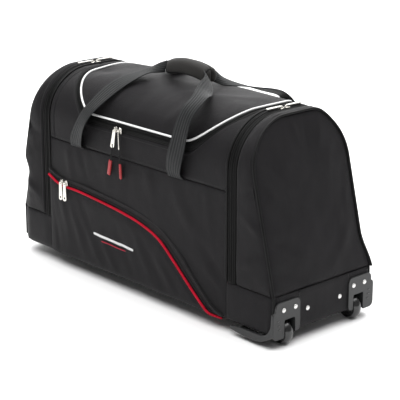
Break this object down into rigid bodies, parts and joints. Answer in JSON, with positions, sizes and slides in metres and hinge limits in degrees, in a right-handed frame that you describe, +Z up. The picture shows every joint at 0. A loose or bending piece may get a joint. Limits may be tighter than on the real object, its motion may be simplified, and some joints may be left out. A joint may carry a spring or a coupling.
{
  "type": "rolling duffel bag",
  "caption": "Large soft duffel on a stiff base, with zipped lid, end pockets, front pocket, carry handles, wheels at one end and a telescopic pull handle at the other.",
  "frame": {"origin": "on the floor under the middle of the bag's outer box", "axes": "+X towards the wheels, -Y the front with the pocket, +Z up"},
  "size_m": [0.784, 0.3128, 0.4595],
  "materials": {
    "shell_fabric": "woven polyester, matt",
    "lining_fabric": "thin woven lining",
    "webbing": "ribbed polypropylene webbing",
    "zip_tape": "woven zip tape with coil teeth",
    "white_piping": "coated piping",
    "nickel": "cast and plated",
    "red_rubber": "moulded",
    "black_cord": "braided cord",
    "black_plastic": "moulded, fine grain",
    "wheel_rubber": "smooth moulded",
    "hub_plastic": "moulded",
    "steel": "turned",
    "aluminium_tube": "anodised",
    "board_plastic": "sheet",
    "button_plastic": "moulded",
    "foot_rubber": "moulded"
  },
  "bodies": {
    "shell": {"base_panel": "shell_fabric", "base_board": "board_plastic", "front_lower_panel": "shell_fabric", "front_upper_panel": "shell_fabric", "rear_lower_panel": "shell_fabric", "rear_upper_panel": "shell_fabric", "left_lower_end": "shell_fabric", "right_lower_end": "shell_fabric", "partitions": "lining_fabric", "front_pocket_panel": "shell_fabric", "pocket_zipper_tape": "zip_tape", "main_zipper_tape": "zip_tape", "end_zipper_tapes": "zip_tape", "front_wheel_housing": "black_plastic", "rear_wheel_housing": "black_plastic", "wheel_axles": "steel", "rivets": "steel", "tube_foot_bracket": "black_plastic", "handle_outer_tubes": "aluminium_tube", "handle_cup": "black_plastic", "base_feet": "foot_rubber"},
    "lid": {"lid_panel": "shell_fabric", "lid_piping": "white_piping"},
    "front_handle": {"front_webbing": "webbing", "front_grip_pad": "shell_fabric"},
    "rear_handle": {"rear_webbing": "webbing", "rear_grip_pad": "shell_fabric"},
    "front_wheel": {"front_tyre": "wheel_rubber", "front_hub": "hub_plastic"},
    "rear_wheel": {"rear_tyre": "wheel_rubber", "rear_hub": "hub_plastic"},
    "handle_stage_one": {"middle_tubes": "aluminium_tube"},
    "handle_stage_two": {"inner_tubes": "aluminium_tube", "pull_grip": "black_plastic"},
    "handle_button": {"release_button": "button_plastic"},
    "left_end": {"left_gusset": "shell_fabric", "left_end_panel": "shell_fabric"},
    "right_end": {"right_gusset": "shell_fabric", "right_end_panel": "shell_fabric"},
    "main_left_slider_body": {"main_left_slider": "nickel"},
    "main_left_pull": {"main_left_puller": "nickel", "main_left_cord": "black_cord", "main_left_tag": "red_rubber"},
    "main_right_slider_body": {"main_right_slider": "nickel"},
    "main_right_pull": {"main_right_puller": "nickel", "main_right_cord": "black_cord", "main_right_tag": "red_rubber"},
    "pocket_left_slider_body": {"pocket_left_slider": "nickel"},
    "pocket_left_pull": {"pocket_left_puller": "nickel"},
    "pocket_right_slider_body": {"pocket_right_slider": "nickel"},
    "pocket_right_pull": {"pocket_right_puller": "nickel"},
    "left_front_end_slider_body": {"left_front_end_slider": "nickel"},
    "left_front_end_pull": {"left_front_end_puller": "nickel"},
    "left_rear_end_slider_body": {"left_rear_end_slider": "nickel"},
    "left_rear_end_pull": {"left_rear_end_puller": "nickel"},
    "right_front_end_slider_body": {"right_front_end_slider": "nickel"},
    "right_front_end_pull": {"right_front_end_puller": "nickel"},
    "right_rear_end_slider_body": {"right_rear_end_slider": "nickel"},
    "right_rear_end_pull": {"right_rear_end_puller": "nickel"}
  },
  "joints": [
    {"name": "front_wheel_spin", "type": "hinge", "parent": "shell", "child": "front_wheel", "pos_m": [0.367, -0.092, 0.025], "axis": [0, 1, 0], "continuous": true},
    {"name": "rear_wheel_spin", "type": "hinge", "parent": "shell", "child": "rear_wheel", "pos_m": [0.367, 0.092, 0.025], "axis": [0, 1, 0], "continuous": true},
    {"name": "handle_stage_one_slide", "type": "slide", "parent": "shell", "child": "handle_stage_one", "axis": [-1, 0, 0], "range_m": [0, 0.3]},
    {"name": "handle_stage_two_slide", "type": "slide", "parent": "handle_stage_one", "child": "handle_stage_two", "axis": [-1, 0, 0], "range_m": [0, 0.28]},
    {"name": "release_button_press", "type": "slide", "parent": "handle_stage_two", "child": "handle_button", "axis": [1, 0, 0], "range_m": [0, 0.004], "stiffness_N_per_m": 400},
    {"name": "lid_open", "type": "hinge", "parent": "shell", "child": "lid", "pos_m": [0, 0.1238, 0.3439], "axis": [-1, 0, 0], "range_deg": [0, 105]},
    {"name": "front_handle_swing", "type": "hinge", "parent": "shell", "child": "front_handle", "pos_m": [0, -0.1365, 0.271], "axis": [1, 0, 0], "range_deg": [0, 147]},
    {"name": "rear_handle_swing", "type": "hinge", "parent": "shell", "child": "rear_handle", "pos_m": [0, 0.1365, 0.271], "axis": [-1, 0, 0], "range_deg": [0, 147]},
    {"name": "left_end_open", "type": "hinge", "parent": "shell", "child": "left_end", "pos_m": [-0.386, 0, 0.1], "axis": [0, -1, 0], "range_deg": [0, 90]},
    {"name": "right_end_open", "type": "hinge", "parent": "shell", "child": "right_end", "pos_m": [0.386, 0, 0.1], "axis": [0, 1, 0], "range_deg": [0, 90]},
    {"name": "main_left_zip_slide", "type": "slide", "parent": "shell", "child": "main_left_slider_body", "axis": [-1, 0, 0], "range_m": [0, 0.05]},
    {"name": "main_left_puller_swing", "type": "hinge", "parent": "main_left_slider_body", "child": "main_left_pull", "pos_m": [-0.046, -0.1372, 0.328], "axis": [-1, 0, 0], "range_deg": [0, 150]},
    {"name": "main_right_zip_slide", "type": "slide", "parent": "shell", "child": "main_right_slider_body", "axis": [1, 0, 0], "range_m": [0, 0.11]},
    {"name": "main_right_puller_swing", "type": "hinge", "parent": "main_right_slider_body", "child": "main_right_pull", "pos_m": [-0.034, -0.1372, 0.328], "axis": [-1, 0, 0], "range_deg": [0, 150]},
    {"name": "pocket_left_zip_slide", "type": "slide", "parent": "shell", "child": "pocket_left_slider_body", "axis": [-0.9937, 0, 0.1119], "range_m": [0, 0.02]},
    {"name": "pocket_left_puller_swing", "type": "hinge", "parent": "pocket_left_slider_body", "child": "pocket_left_pull", "pos_m": [-0.218, -0.1415, 0.186], "axis": [-1, 0, 0], "range_deg": [0, 150]},
    {"name": "pocket_right_zip_slide", "type": "slide", "parent": "shell", "child": "pocket_right_slider_body", "axis": [0.9937, 0, -0.1119], "range_m": [0, 0.18]},
    {"name": "pocket_right_puller_swing", "type": "hinge", "parent": "pocket_right_slider_body", "child": "pocket_right_pull", "pos_m": [-0.205, -0.1415, 0.186], "axis": [-1, 0, 0], "range_deg": [0, 150]},
    {"name": "left_front_end_zip_slide", "type": "slide", "parent": "shell", "child": "left_front_end_slider_body", "axis": [0, -1, 0], "range_m": [0, 0.02]},
    {"name": "left_front_end_puller_swing", "type": "hinge", "parent": "left_front_end_slider_body", "child": "left_front_end_pull", "pos_m": [-0.275, -0.007, 0.411], "axis": [-1, 0, 0], "range_deg": [0, 90]},
    {"name": "left_rear_end_zip_slide", "type": "slide", "parent": "shell", "child": "left_rear_end_slider_body", "axis": [0, 1, 0], "range_m": [0, 0.02]},
    {"name": "left_rear_end_puller_swing", "type": "hinge", "parent": "left_rear_end_slider_body", "child": "left_rear_end_pull", "pos_m": [-0.275, 0.007, 0.411], "axis": [1, 0, 0], "range_deg": [0, 90]},
    {"name": "right_front_end_zip_slide", "type": "slide", "parent": "shell", "child": "right_front_end_slider_body", "axis": [0, -1, 0], "range_m": [0, 0.02]},
    {"name": "right_front_end_puller_swing", "type": "hinge", "parent": "right_front_end_slider_body", "child": "right_front_end_pull", "pos_m": [0.275, -0.007, 0.411], "axis": [-1, 0, 0], "range_deg": [0, 90]},
    {"name": "right_rear_end_zip_slide", "type": "slide", "parent": "shell", "child": "right_rear_end_slider_body", "axis": [0, 1, 0], "range_m": [0, 0.02]},
    {"name": "right_rear_end_puller_swing", "type": "hinge", "parent": "right_rear_end_slider_body", "child": "right_rear_end_pull", "pos_m": [0.275, 0.007, 0.411], "axis": [1, 0, 0], "range_deg": [0, 90]}
  ],
  "couplings": [
    {"joint": "front_handle_swing", "follows": "lid_open", "ratio": 1.4},
    {"joint": "rear_handle_swing", "follows": "lid_open", "ratio": 1.4}
  ]
}
